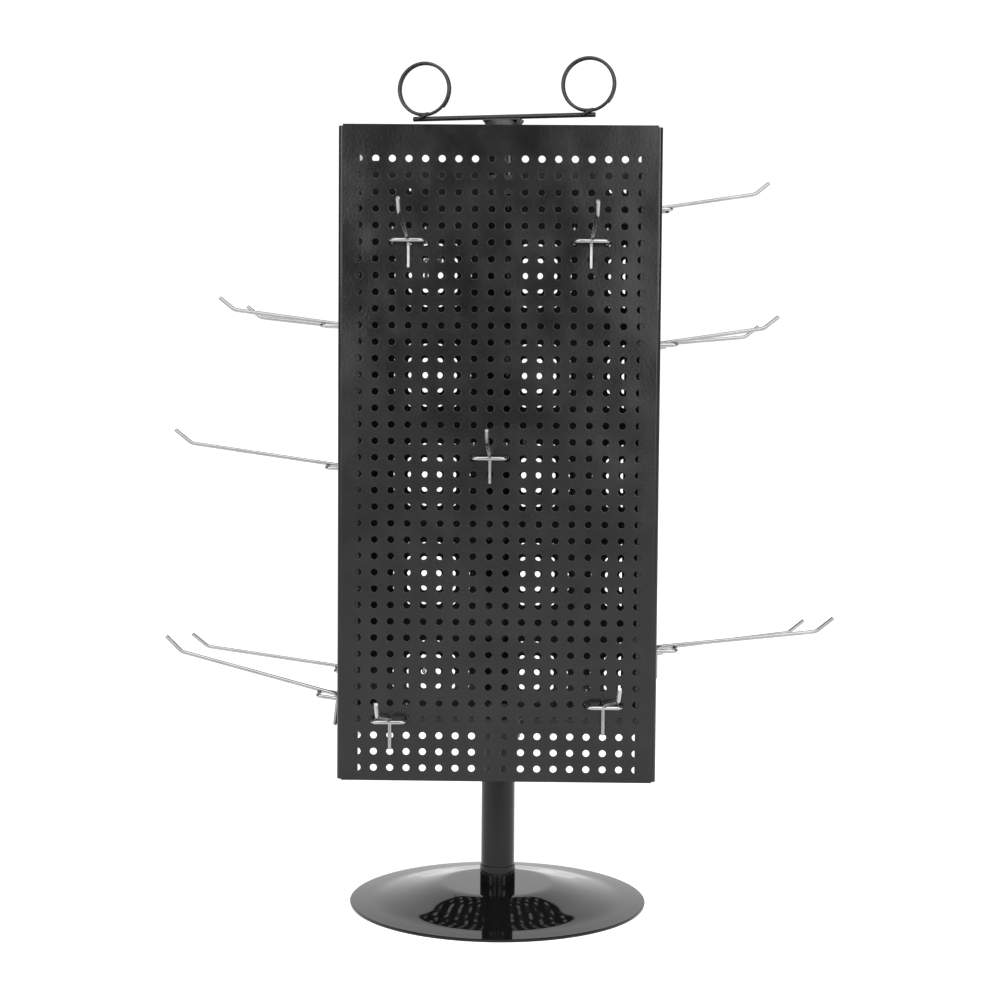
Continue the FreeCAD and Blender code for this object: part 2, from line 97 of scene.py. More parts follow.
HOLDER_TURN = -13.3
PLUG_R, PLUG_LEN, PLUG_FLANGE_R, PLUG_FLANGE_H = 12.42, 30.0, 14.0, 3.0
PLUG_DOME_R, PLUG_DOME_TOP, PLUG_GAP = 12.1, 651.5, 0.05
SADDLE_SHEET, SADDLE_W, SADDLE_HALF, SADDLE_FOOT_HALF, SADDLE_DROP = 1.4, 14.0, 17.0, 13.4, 4.8
BAR_R, BAR_HALF = 2.0, 77.4
CLIP_WIRE_R, CLIP_R, CLIP_PITCH, CLIP_REAR_Y = 1.4, 21.2, 3.0, 4.03
CLIP_HALF_TURNS = [(136.0, 180.0), (0.0, 180.0), (0.0, 180.0), (0.0, 180.0), (0.0, 100.0)]
CLIP_X = {"left_card_clip": -68.0, "right_card_clip": 71.5}
BAR_Z = PLUG_DOME_TOP + SADDLE_SHEET + BAR_R


# ---------------------------------------------------------------- materials

class Nodes:
    """Small helper round one material's node tree."""

    def __init__(self, name):
        self.material = bpy.data.materials.new(name)
        self.material.use_nodes = True
        self.tree = self.material.node_tree
        self.shader = self.tree.nodes["Principled BSDF"]
        self.coords = self.tree.nodes.new("ShaderNodeTexCoord").outputs["Object"]

    def link(self, a, b):
        self.tree.links.new(a, b)

    def noise(self, scale, detail, rough):
        node = self.tree.nodes.new("ShaderNodeTexNoise")
        node.inputs["Scale"].default_value = scale
        node.inputs["Detail"].default_value = detail
        node.inputs["Roughness"].default_value = rough
        self.link(self.coords, node.inputs["Vector"])
        return node.outputs["Fac"]

    def tones(self, value, first, second, start=0.3, end=0.7):
        """Colour that goes from the first to the second as the value goes from start to end."""
        node = self.tree.nodes.new("ShaderNodeValToRGB")
        stops = ((start, first), (end, second))
        for element, (position, colour) in zip(node.color_ramp.elements, stops):
            element.position = position
            element.color = (*colour, 1.0)
        self.link(value, node.inputs["Fac"])
        return node.outputs["Color"]

    def between(self, value, low, high, start=0.3, end=0.7):
        node = self.tree.nodes.new("ShaderNodeMapRange")
        node.inputs["From Min"].default_value = start
        node.inputs["From Max"].default_value = end
        node.inputs["To Min"].default_value = low
        node.inputs["To Max"].default_value = high
        self.link(value, node.inputs["Value"])
        return node.outputs["Result"]

    def bump(self, height, strength, distance, below=None):
        node = self.tree.nodes.new("ShaderNodeBump")
        node.inputs["Strength"].default_value = strength
        node.inputs["Distance"].default_value = distance
        self.link(height, node.inputs["Height"])
        if below is not None:
            self.link(below, node.inputs["Normal"])
        return node.outputs["Normal"]

    def set(self, **sockets):
        for name, value in sockets.items():
            socket = self.shader.inputs[name.replace("_", " ")]
            if isinstance(value, bpy.types.NodeSocket):
                self.link(value, socket)
            else:
                socket.default_value = value


def powder_coat():
    """Semi-gloss black powder coat: fine orange peel over slightly wavy sheet."""
    n = Nodes("powder_coat")
    peel = n.noise(420.0, 2.0, 0.55)
    slow = n.noise(11.0, 2.0, 0.5)
    patch = n.noise(26.0, 4.0, 0.6)
    tone = n.tones(patch, (0.0065, 0.0065, 0.007), (0.0115, 0.0115, 0.012))
    waves = n.bump(slow, 0.8, 0.003)
    n.set(Base_Color=tone, Roughness=n.between(patch, 0.12, 0.20),
          Normal=n.bump(peel, 0.6, 0.00008, waves), Specular_IOR_Level=0.38)
    return n.material


def gloss_black():
    """High-gloss black paint with a trace of ripple and dust."""
    n = Nodes("gloss_black")
    ripple = n.noise(60.0, 2.0, 0.45)
    dust = n.noise(240.0, 4.0, 0.7)
    tone = n.tones(n.noise(9.0, 4.0, 0.6), (0.005, 0.005, 0.0055), (0.008, 0.008, 0.0085))
    n.set(Base_Color=tone, Roughness=n.between(dust, 0.03, 0.07),
          Normal=n.bump(ripple, 0.12, 0.0002), Specular_IOR_Level=0.24)
    return n.material


def satin_black():
    """Satin black paint on wire: even, with a faint lumpiness."""
    n = Nodes("satin_black")
    lumps = n.noise(90.0, 2.0, 0.5)
    tone = n.tones(n.noise(60.0, 3.0, 0.5), (0.012, 0.012, 0.012), (0.020, 0.020, 0.020),
                   0.35, 0.75)
    n.set(Base_Color=tone, Roughness=n.between(lumps, 0.28, 0.38),
          Normal=n.bump(lumps, 0.15, 0.0002))
    return n.material


def zinc_wire():
    """Bright zinc on drawn wire: smooth, with faint cloudy patches."""
    n = Nodes("zinc_wire")
    cloud = n.noise(70.0, 3.0, 0.5)
    fine = n.noise(420.0, 3.0, 0.6)
    tone = n.tones(cloud, (0.31, 0.31, 0.32), (0.37, 0.37, 0.38))
    n.set(Base_Color=tone, Roughness=n.between(fine, 0.15, 0.21),
          Normal=n.bump(fine, 0.05, 0.00004), Metallic=1.0)
    return n.material


def plain_steel():
    """Zinc-plated steel hardware."""
    n = Nodes("plain_steel")
    cloud = n.noise(220.0, 4.0, 0.65)
    tone = n.tones(cloud, (0.42, 0.42, 0.42), (0.58, 0.58, 0.57))
    n.set(Base_Color=tone, Roughness=n.between(cloud, 0.3, 0.45),
          Normal=n.bump(cloud, 0.2, 0.0001), Metallic=1.0)
    return n.material


def black_collar():
    """Black oxide steel, oily and faintly mottled."""
    n = Nodes("black_oxide")
    cloud = n.noise(180.0, 4.0, 0.6)
    tone = n.tones(cloud, (0.018, 0.018, 0.019), (0.034, 0.033, 0.032))
    n.set(Base_Color=tone, Roughness=n.between(cloud, 0.32, 0.46),
          Normal=n.bump(cloud, 0.2, 0.0001), Metallic=0.6)
    return n.material


def nylon():
    """Black nylon, moulded smooth."""
    n = Nodes("nylon")
    cloud = n.noise(60.0, 3.0, 0.5)
    tone = n.tones(cloud, (0.018, 0.018, 0.018), (0.030, 0.030, 0.029))
    n.set(Base_Color=tone, Roughness=n.between(cloud, 0.38, 0.5),
          Normal=n.bump(n.noise(500.0, 2.0, 0.5), 0.1, 0.00005))
    return n.material


def plug_plastic():
    """Moulded black plastic with a fine spark texture."""
    n = Nodes("plug_plastic")
    grain = n.noise(1500.0, 2.0, 0.6)
    tone = n.tones(n.noise(90.0, 3.0, 0.5), (0.03, 0.03, 0.03), (0.045, 0.045, 0.044))
    n.set(Base_Color=tone, Roughness=n.between(grain, 0.42, 0.58),
          Normal=n.bump(grain, 0.25, 0.00005))
    return n.material


MATERIALS = {
    "powder_coat": powder_coat(), "gloss_paint": gloss_black(), "satin_paint": satin_black(),
    "zinc_wire": zinc_wire(), "plain_steel": plain_steel(), "black_collar": black_collar(),
    "nylon": nylon(), "plug_plastic": plug_plastic(),
}
SLOT_OF = {entry["node"]: entry["material_slot"] for entry in frame["record"]["subparts"]}
BODY_OF = {node: body for body, nodes in frame["record"]["behaviour"]["bodies"].items()
           for node in nodes}


# ---------------------------------------------------------------- mesh helpers

def new_piece(name, vertices, faces, smooth_angle=40.0):
    """Mesh object from millimetre vertices."""
    mesh = bpy.data.meshes.new(name)
    mesh.from_pydata([Vector(v) * MM for v in vertices], [], faces)
    mesh.validate()
    bm = bmesh.new()
    bm.from_mesh(mesh)
    bmesh.ops.recalc_face_normals(bm, faces=bm.faces)
    limit = math.radians(smooth_angle)
    for face in bm.faces:
        face.smooth = True
    for edge in bm.edges:
        if len(edge.link_faces) == 2 and edge.calc_face_angle(0.0) > limit:
            edge.smooth = False
    bm.to_mesh(mesh)
    bm.free()
    piece = bpy.data.objects.new(name, mesh)
    bpy.context.scene.collection.objects.link(piece)
    return piece


def stands_for(piece, node):
    """The piece replaces a CAD node, on its body and with its finish."""
    piece.data.materials.clear()
    piece.data.materials.append(MATERIALS[SLOT_OF[node]])
    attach(piece, BODY_OF[node])
    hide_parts(node)


def turn_z(degrees):
    return Matrix.Rotation(math.radians(degrees), 4, "Z")


def rounded(points, radii, step):
    """Points along straight runs joined by arcs; radii belong to the inner points.

    step is the longest turn between an arc's points, in degrees.
    """
    out = [Vector(points[0])]
    for before, corner, after, radius in zip(points, points[1:], points[2:], radii):
        corner = Vector(corner)
        to_before = (Vector(before) - corner).normalized()
        to_after = (Vector(after) - corner).normalized()
        if radius <= 0.0:
            out.append(corner)
            continue
        half = to_before.angle(to_after) / 2.0
        setback = radius / math.tan(half)
        middle = (to_before + to_after).normalized()
        centre = corner + middle * (radius / math.sin(half))
        first = corner + to_before * setback - centre
        last = corner + to_after * setback - centre
        sweep = first.angle(last)
        count = max(3, math.ceil(math.degrees(sweep) / step))
        for k in range(count + 1):
            t = k / count
            ray = first * math.sin((1.0 - t) * sweep) + last * math.sin(t * sweep)
            out.append(centre + ray / math.sin(sweep))
    out.append(Vector(points[-1]))
    return out


WOBBLE_SCALE = 0.35


def tube_mesh(path, radius, sides, chamfer, wobble=0.0):
    """Vertices and faces of a round wire along a path, with chamfered cut ends."""
    tangents = []
    for k, point in enumerate(path):
        a = path[max(k - 1, 0)]
        b = path[min(k + 1, len(path) - 1)]
        tangents.append((b - a).normalized())
    side = tangents[0].orthogonal().normalized()
    rings = [(path[0], tangents[0], radius - chamfer)]
    for k, point in enumerate(path):
        shift = Vector((0, 0, 0))
        if k == 0:
            shift = tangents[0] * chamfer
        if k == len(path) - 1:
            shift = -tangents[-1] * chamfer
        rings.append((point + shift, tangents[k], radius))
    rings.append((path[-1], tangents[-1], radius - chamfer))
    vertices, faces = [], []
    for centre, tangent, r in rings:
        side = (side - tangent * side.dot(tangent)).normalized()
        up = tangent.cross(side)
        for s in range(sides):
            angle = 2.0 * math.pi * s / sides
            reach = r
            if wobble:
                place = centre * WOBBLE_SCALE + Vector((angle, 0, 0))
                reach += wobble * noise.noise(place)
            vertices.append(centre + (side * math.cos(angle) + up * math.sin(angle)) * reach)
    for k in range(len(rings) - 1):
        for s in range(sides):
            a, b = k * sides + s, k * sides + (s + 1) % sides
            faces.append((a, b, b + sides, a + sides))
    faces.append(tuple(range(sides)))
    last = (len(rings) - 1) * sides
    faces.append(tuple(range(last, last + sides)))
    return vertices, faces


def split_runs(path, longest):
    """Adds points so that no run is longer than that."""
    out = [path[0]]
    for a, b in zip(path, path[1:]):
        count = max(1, math.ceil((b - a).length / longest))
        for k in range(1, count + 1):
            out.append(a.lerp(b, k / count))
    return out


NUGGET_RINGS, NUGGET_SIDES = 7, 12
NUGGET_BULGE, NUGGET_LUMPS, NUGGET_SEED_TURN = 0.22, 1.7, 0.37


def nugget(centre, size, seed):
    """Lumpy weld bead."""
    rings, sides = NUGGET_RINGS, NUGGET_SIDES
    vertices, faces = [], []
    for k in range(rings + 1):
        phi = math.pi * k / rings
        for s in range(sides):
            theta = 2.0 * math.pi * s / sides
            ray = Vector((math.sin(phi) * math.cos(theta), math.sin(phi) * math.sin(theta),
                          math.cos(phi)))
            place = ray * NUGGET_LUMPS + Vector((seed, seed * NUGGET_SEED_TURN, 0.0))
            bulge = 1.0 + NUGGET_BULGE * noise.noise(place)
            stretched = Vector((ray.x * size[0], ray.y * size[1], ray.z * size[2]))
            vertices.append(Vector(centre) + stretched * bulge)
    for k in range(rings):
        for s in range(sides):
            a, b = k * sides + s, k * sides + (s + 1) % sides
            faces.append((a, b, b + sides, a + sides))
    return vertices, faces


def joined(*parts):
    """One vertex and face list from several."""
    vertices, faces = [], []
    for more_vertices, more_faces in parts:
        base = len(vertices)
        vertices.extend(more_vertices)
        faces.extend(tuple(i + base for i in face) for face in more_faces)
    return vertices, faces


PROFILE_STEP = 15.0


def lathe(name, profile, segments, smooth_angle=40.0):
    """Closed profile of (radius, height) turned about the post's axis."""
    vertices, faces = [], []
    count = len(profile)
    for s in range(segments):
        angle = 2.0 * math.pi * s / segments
        for r, z in profile:
            vertices.append((r * math.cos(angle), r * math.sin(angle), z))
    for s in range(segments):
        after = (s + 1) % segments
        for k in range(count):
            k2 = (k + 1) % count
            faces.append((s * count + k, after * count + k, after * count + k2, s * count + k2))
    return new_piece(name, vertices, faces, smooth_angle)


def soft_profile(corners, radii):
    """Closed (r, z) profile with rounded corners."""
    loop = [Vector((r, 0, z)) for r, z in corners]
    points = []
    for k, radius in enumerate(radii):
        before, corner, after = loop[k - 1], loop[k], loop[(k + 1) % len(loop)]
        if radius <= 0.0:
            points.append(corner)
        else:
            points.extend(rounded([before, corner, after], [radius], PROFILE_STEP)[1:-1])
    return [(p.x, p.z) for p in points]


SPLINE_STEPS = 8


def clamped_spline(points, start_slope, end_slope):
    """Smooth z(r) through the points with given end slopes."""
    x = np.array([p[0] for p in points])
    y = np.array([p[1] for p in points])
    h = np.diff(x)
    size = len(x)
    matrix = np.zeros((size, size))
    right = np.zeros(size)
    matrix[0, 0] = matrix[-1, -1] = 1.0
    right[0], right[-1] = start_slope, end_slope
    for k in range(1, size - 1):
        matrix[k, k - 1] = h[k]
        matrix[k, k] = 2.0 * (h[k - 1] + h[k])
        matrix[k, k + 1] = h[k - 1]
        right[k] = 3.0 * (h[k - 1] * (y[k + 1] - y[k]) / h[k]
                          + h[k] * (y[k] - y[k - 1]) / h[k - 1])
    slope = np.linalg.solve(matrix, right)
    out = []
    for k in range(size - 1):
        for j in range(SPLINE_STEPS + (k == size - 2)):
            t = j / SPLINE_STEPS
            a = (1 + 2 * t) * (1 - t) ** 2
            b = t * (1 - t) ** 2
            c = t * t * (3 - 2 * t)
            d = t * t * (t - 1)
            z = a * y[k] + b * h[k] * slope[k] + c * y[k + 1] + d * h[k] * slope[k + 1]
            out.append((float(x[k] + t * h[k]), float(z)))
    return out


# ---------------------------------------------------------------- base and post

DISH_SEGMENTS, POST_SEGMENTS = 192, 96


def make_base():
    """Dish with a rolled rim, the post and the sleeve round its foot."""
    top = clamped_spline(DISH_PROFILE, 0.0, DISH_END_SLOPE)
    under = [(r, z - DISH_SHEET) for r, z in reversed(top[:-3])]
    rim = [(DISH_R - inset, z) for inset, z in DISH_RIM]
    top[-1] = (DISH_R - RIM_ROUND, RIM_TOP_Z)
    start = [(BOLT_HOLE_R, PLATEAU_Z - DISH_SHEET), (BOLT_HOLE_R, PLATEAU_Z),
             (DISH_SEAM_R, PLATEAU_Z)]
    end = [(DISH_SEAM_R, PLATEAU_Z - DISH_SHEET)]
    dish = lathe("base_dish_paint", start + top + rim + under + end, DISH_SEGMENTS, 50.0)
    stands_for(dish, "base_dish")

    post = lathe("post_tube_paint", soft_profile(
        [(POST_R, PLATEAU_Z), (POST_R, POST_TOP_Z), (POST_BORE_R, POST_TOP_Z),
         (POST_BORE_R, PLATEAU_Z)], [0.0, 0.4, 0.3, 0.0]), POST_SEGMENTS)
    stands_for(post, "post_tube")

    sleeve = lathe("post_foot_sleeve_paint", soft_profile(
        [(SLEEVE_R, PLATEAU_Z), (SLEEVE_R, SLEEVE_TOP_Z), (POST_R, SLEEVE_TOP_Z),
         (POST_R, PLATEAU_Z)], [0.25, 0.35, 0.0, 0.0]), POST_SEGMENTS)
    stands_for(sleeve, "post_foot_sleeve")


# ---------------------------------------------------------------- perforated panels

RIM_ROLL, RIM_FLAT, BACK_BREAK = 0.45, 0.12, 0.06
ROLL_ANGLES = (25.0, 50.0, 72.0)
RING_STEPS = 20
EDGE_THIN, EDGE_STEP = 0.25, 0.3
OUTER_STEP_X, CORNER_STEPS = 119.0, 8


def panel_lines(z_range):
    """Heights of the mesh lines: edges, and the boundaries and middles of every hole's cell."""
    top = TOP_ROW_Z + PITCH / 2.0
    rows = [top - k * PITCH / 2.0 for k in range(2 * ROWS + 1)]
    low, high = z_range
    return [high, high - EDGE_STEP] + rows + [low + EDGE_STEP, low]


def panel_mesh(z_range, side_outer):
    """Perforated sheet facing -Y.

    side_outer lists (x, y, nx, ny) from the grid's edge outwards.
    """
    lines = panel_lines(z_range)
    grid_half = PITCH * COLUMNS / 2.0
    columns = [(-x, y, -nx, ny) for x, y, nx, ny in reversed(side_outer)]
    first_cell = len(columns)
    for k in range(2 * COLUMNS + 1):
        columns.append((-grid_half + k * PITCH / 2.0, -BOX_HALF, 0.0, -1.0))
    columns += list(side_outer)
    vertices, faces = [], []
    outer, inner = {}, {}
    last_i, last_j = len(columns) - 1, len(lines) - 1

    def in_grid(i, j):
        return first_cell <= i < first_cell + 2 * COLUMNS and 2 <= j < 2 + 2 * ROWS

    for j, z in enumerate(lines):
        for i, (x, y, nx, ny) in enumerate(columns):
            if in_grid(i, j) and (i - first_cell) % 2 and j % 2:
                continue
            t = EDGE_THIN if i in (0, last_i) or j in (0, last_j) else 0.0
            outer[i, j] = len(vertices)
            vertices.append((x - nx * t, y - ny * t, z))
            inner[i, j] = len(vertices)
            vertices.append((x - nx * (SHEET - t), y - ny * (SHEET - t), z))

    for j in range(last_j):
        for i in range(last_i):
            if in_grid(i, j):
                continue
            faces.append((outer[i, j], outer[i + 1, j], outer[i + 1, j + 1], outer[i, j + 1]))
            faces.append((inner[i, j + 1], inner[i + 1, j + 1], inner[i + 1, j], inner[i, j]))
    for i in range(last_i):
        faces.append((outer[i, 0], inner[i, 0], inner[i + 1, 0], outer[i + 1, 0]))
        faces.append((outer[i + 1, last_j], inner[i + 1, last_j], inner[i, last_j],
                      outer[i, last_j]))
    for j in range(last_j):
        faces.append((inner[0, j], outer[0, j], outer[0, j + 1], inner[0, j + 1]))
        faces.append((outer[last_i, j], inner[last_i, j], inner[last_i, j + 1],
                      outer[last_i, j + 1]))

    front, back = -BOX_HALF, -BOX_HALF + SHEET
    roll = RIM_ROLL
    rings = [(HOLE_R + roll + RIM_FLAT, front), (HOLE_R + roll, front)]
    for angle in ROLL_ANGLES:
        a = math.radians(angle)
        rings.append((HOLE_R + roll * (1.0 - math.sin(a)), front + roll * (1.0 - math.cos(a))))
    rings += [(HOLE_R, front + roll), (HOLE_R, back - BACK_BREAK), (HOLE_R + BACK_BREAK, back)]
    quarter = RING_STEPS // 4
    for row in range(ROWS):
        j = 2 + 2 * row
        zc = TOP_ROW_Z - PITCH * row
        for column in range(COLUMNS):
            i = first_cell + 2 * column
            xc = PITCH * (column - (COLUMNS - 1) / 2.0)
            start = len(vertices)
            for radius, y in rings:
                for s in range(RING_STEPS):
                    angle = 2.0 * math.pi * s / RING_STEPS
                    vertices.append((xc + radius * math.cos(angle), y,
                                     zc + radius * math.sin(angle)))
            for k in range(len(rings) - 1):
                for s in range(RING_STEPS):
                    s2 = (s + 1) % RING_STEPS
                    a, b = start + k * RING_STEPS, start + (k + 1) * RING_STEPS
                    faces.append((a + s, a + s2, b + s2, b + s))
            corners = [((i + 2, j + 1), (i + 2, j), (i + 1, j)),
                       ((i + 1, j), (i, j), (i, j + 1)),
                       ((i, j + 1), (i, j + 2), (i + 1, j + 2)),
                       ((i + 1, j + 2), (i + 2, j + 2), (i + 2, j + 1))]
            back_ring = start + (len(rings) - 1) * RING_STEPS
            for q, (p0, p1, p2) in enumerate(corners):
                arc = [(q * quarter + s) % RING_STEPS for s in range(quarter, -1, -1)]
                faces.append((outer[p0], outer[p1], outer[p2], *[start + s for s in arc]))
                faces.append((*[back_ring + s for s in reversed(arc)], inner[p2], inner[p1],
                              inner[p0]))
    return vertices, faces


def make_panels():
    """Flat sheets at the front and back, sheets with bent edges and lips at the sides."""
    face_half = FACE_W / 2.0
    flat_side = [(x, -BOX_HALF, 0.0, -1.0)
                 for x in (OUTER_STEP_X, face_half - EDGE_STEP, face_half)]
    inner = BOX_HALF - SHEET
    flat_half = inner - CORNER_R
    bent_side = [(x, -BOX_HALF, 0.0, -1.0) for x in (OUTER_STEP_X, flat_half)]
    for k in range(1, CORNER_STEPS + 1):
        a = math.radians(90.0 * k / CORNER_STEPS)
        bent_side.append((flat_half + CORNER_R * math.sin(a),
                          -BOX_HALF + CORNER_R - CORNER_R * math.cos(a),
                          math.sin(a), -math.cos(a)))
    bent_side += [(inner, y, 1.0, 0.0) for y in (-LIP_EDGE_X - EDGE_STEP, -LIP_EDGE_X)]
    front = panel_mesh(FRONT_Z, flat_side)
    back = panel_mesh(BACK_Z, flat_side)
    bent = panel_mesh(SIDE_Z, bent_side)
    for node, shape, turn in (("front_panel", front, 0.0), ("back_panel", back, 180.0),
                              ("right_panel", bent, 90.0), ("left_panel", bent, -90.0)):
        piece = new_piece(node + "_sheet", shape[0], shape[1], 34.0)
        piece.data.transform(turn_z(turn))
        stands_for(piece, node)


# ---------------------------------------------------------------- hooks

WIRE_SIDES, WIRE_CHAMFER, WIRE_CREASE = 18, 0.28, 34.0
PRONG_BEND_R = STAPLE_BEND_R - 0.6
ARM_STEP, ARM_RUN, STAPLE_STEP, STAPLE_RUN = 6.0, 12.0, 8.0, 8.0
BEAD_X, BEAD_Y, BEAD_Z, BEAD_SIZE, BEAD_SEED_STEP = 1.05, 0.9, 1.35, (1.0, 0.95, 0.65), 3.1
HOOK_SEED_STEP, HOOK_SEED_START = 1.7, 0.4


def hook_mesh(size, slope, seed):
    """One hook facing -Y: bent arm, staple with two prongs, and the weld between them."""
    rise = math.tan(math.radians(slope))
    leg_y = -(WIRE_R + LEG_GAP)
    weld_z = STAPLE_RISE + WELD_STEP

    def arm_z(out):
        return weld_z + (out - STAPLE_OUT) * rise

    tip_run = size["tip"] * math.cos(math.radians(TIP_ANGLE))
    tip_rise = size["tip"] * math.sin(math.radians(TIP_ANGLE))
    bend_out = size["reach"] - tip_run
    arm_path = rounded(
        [(0, leg_y, -size["leg"]), (0, leg_y, arm_z(-leg_y)), (0, -bend_out, arm_z(bend_out)),
         (0, -size["reach"], arm_z(bend_out) + tip_rise)], [ARM_BEND_R, TIP_BEND_R], ARM_STEP)
    prong_drop = STAPLE_RISE / STAPLE_OUT * PRONG_BACK
    staple_path = rounded(
        [(-PITCH, PRONG_BACK, PRONG_TOP), (-PITCH, PRONG_BACK, -prong_drop),
         (-PITCH, -STAPLE_OUT, STAPLE_RISE), (PITCH, -STAPLE_OUT, STAPLE_RISE),
         (PITCH, PRONG_BACK, -prong_drop), (PITCH, PRONG_BACK, PRONG_TOP)],
        [PRONG_BEND_R, STAPLE_BEND_R, STAPLE_BEND_R, PRONG_BEND_R], STAPLE_STEP)
    arm = tube_mesh(split_runs(arm_path, ARM_RUN), WIRE_R, WIRE_SIDES, WIRE_CHAMFER)
    staple = tube_mesh(split_runs(staple_path, STAPLE_RUN), WIRE_R, WIRE_SIDES, WIRE_CHAMFER)
    beads = []
    for k, side in enumerate((-1.0, 1.0)):
        beads.append(nugget((side * BEAD_X, -STAPLE_OUT + side * BEAD_Y, STAPLE_RISE + BEAD_Z),
                            BEAD_SIZE, seed + k * BEAD_SEED_STEP))
    return joined(arm, staple, *beads)


def make_hooks():
    """Every hook, put in its holes and turned with its face."""
    for number, (node, spec) in enumerate(HOOKS.items()):
        face, row, column, size, slope, sideways, lift = spec
        seed = number * HOOK_SEED_STEP + HOOK_SEED_START
        piece = new_piece(node + "_wire", *hook_mesh(size, slope, seed), WIRE_CREASE)
        pivot = Vector((0, HOOK_PIVOT_Y, 0)) * MM
        x = PITCH * (column - (COLUMNS - 1) / 2.0)
        place = (turn_z(FACE_TURN[face])
                 @ Matrix.Translation(Vector((x, -BOX_HALF, TOP_ROW_Z - PITCH * row)) * MM)
                 @ Matrix.Translation(pivot) @ turn_z(sideways)
                 @ Matrix.Rotation(math.radians(lift), 4, Vector((-1, 0, 0)))
                 @ Matrix.Translation(-pivot))
        piece.data.transform(place)
        stands_for(piece, node)


# ---------------------------------------------------------------- card holder

PLUG_AXIS_R = 0.02
SADDLE_BEND_R, SADDLE_INNER_R, SADDLE_STEP, SADDLE_BEVEL = 0.9, 0.3, 18.0, 0.25
SADDLE_THICKENING = 1.15
BAR_RUN, BAR_SIDES, BAR_CHAMFER, BAR_WOBBLE = 4.0, 24, 0.3, 0.02
CLIP_LIFT, COIL_INSET, COIL_CHAMFER, COIL_STEP = 0.04, 0.01, 0.25, 4.5
TAIL_X, TAIL_GAP, TAIL_DROP, TAIL_OVERRUN = -4.5, 0.12, 0.4, 1.2
TAIL_RUN, TAIL_CHAMFER, TAIL_WOBBLE = 2.0, 0.45, 0.15
COIL_BEAD_SIZE = (1.8, 1.5, 1.6)
FOOT_BEAD_SIZE, FOOT_BEAD_AT, FOOT_BEAD_SEED = (2.1, 1.0, 1.2), (1.2, 1.1, 0.4), 5.0


def make_plug():
    """Domed plug in the top of the post."""
    flange_z = POST_TOP_Z + PLUG_GAP
    dome_z = flange_z + PLUG_FLANGE_H
    barrel_z = flange_z - PLUG_LEN
    plug = lathe("holder_plug_moulding", soft_profile(
        [(PLUG_AXIS_R, barrel_z), (PLUG_R, barrel_z), (PLUG_R, flange_z),
         (PLUG_FLANGE_R, flange_z), (PLUG_FLANGE_R, dome_z), (PLUG_DOME_R, dome_z),
         (PLUG_DOME_R, PLUG_DOME_TOP), (PLUG_AXIS_R, PLUG_DOME_TOP)],
        [0.0, 0.6, 0.0, 0.25, 0.5, 0.3, 2.0, 0.0]), POST_SEGMENTS)
    stands_for(plug, "holder_plug")


def make_saddle():
    """Strip under the bar, its ends folded down and inwards."""
    top = PLUG_DOME_TOP + SADDLE_SHEET
    foot = top - SADDLE_DROP
    edge = SADDLE_SHEET * SADDLE_THICKENING
    inner_half = SADDLE_HALF - edge - SADDLE_BEND_R
    inner_foot = SADDLE_FOOT_HALF - edge
    outer = rounded([(-SADDLE_FOOT_HALF, 0, foot), (-SADDLE_HALF, 0, top),
                     (SADDLE_HALF, 0, top), (SADDLE_FOOT_HALF, 0, foot)],
                    [SADDLE_BEND_R, SADDLE_BEND_R], SADDLE_STEP)
    inner = rounded([(-inner_foot, 0, foot), (-inner_half, 0, PLUG_DOME_TOP),
                     (inner_half, 0, PLUG_DOME_TOP), (inner_foot, 0, foot)],
                    [SADDLE_INNER_R, SADDLE_INNER_R], SADDLE_STEP)
    loop = outer + list(reversed(inner))
    vertices, faces = [], []
    half = SADDLE_W / 2.0
    stations = [(-half, SADDLE_BEVEL), (-half + SADDLE_BEVEL, 0.0),
                (half - SADDLE_BEVEL, 0.0), (half, SADDLE_BEVEL)]
    count = len(loop)
    for y, inset in stations:
        for k, p in enumerate(loop):
            along = (loop[(k + 1) % count] - loop[k - 1]).normalized()
            inward = Vector((along.z, 0, -along.x))
            vertices.append(p + inward * inset + Vector((0, y, 0)))
    for s in range(len(stations) - 1):
        a, b = s * count, (s + 1) * count
        for k in range(count):
            k2 = (k + 1) % count
            faces.append((a + k, a + k2, b + k2, b + k))
    faces.append(tuple(range(count)))
    faces.append(tuple(range(3 * count, 4 * count)))
    saddle = new_piece("holder_saddle_strip", vertices, faces)
    saddle.data.transform(turn_z(HOLDER_TURN))
    stands_for(saddle, "holder_saddle")


def make_bar():
    """Round bar across the saddle."""
    path = split_runs([Vector((-BAR_HALF, 0, BAR_Z)), Vector((BAR_HALF, 0, BAR_Z))], BAR_RUN)
    rod = tube_mesh(path, BAR_R, BAR_SIDES, BAR_CHAMFER, BAR_WOBBLE)
    bar = new_piece("holder_bar_rod", *rod, WIRE_CREASE)
    bar.data.transform(turn_z(HOLDER_TURN))
    stands_for(bar, "holder_bar")


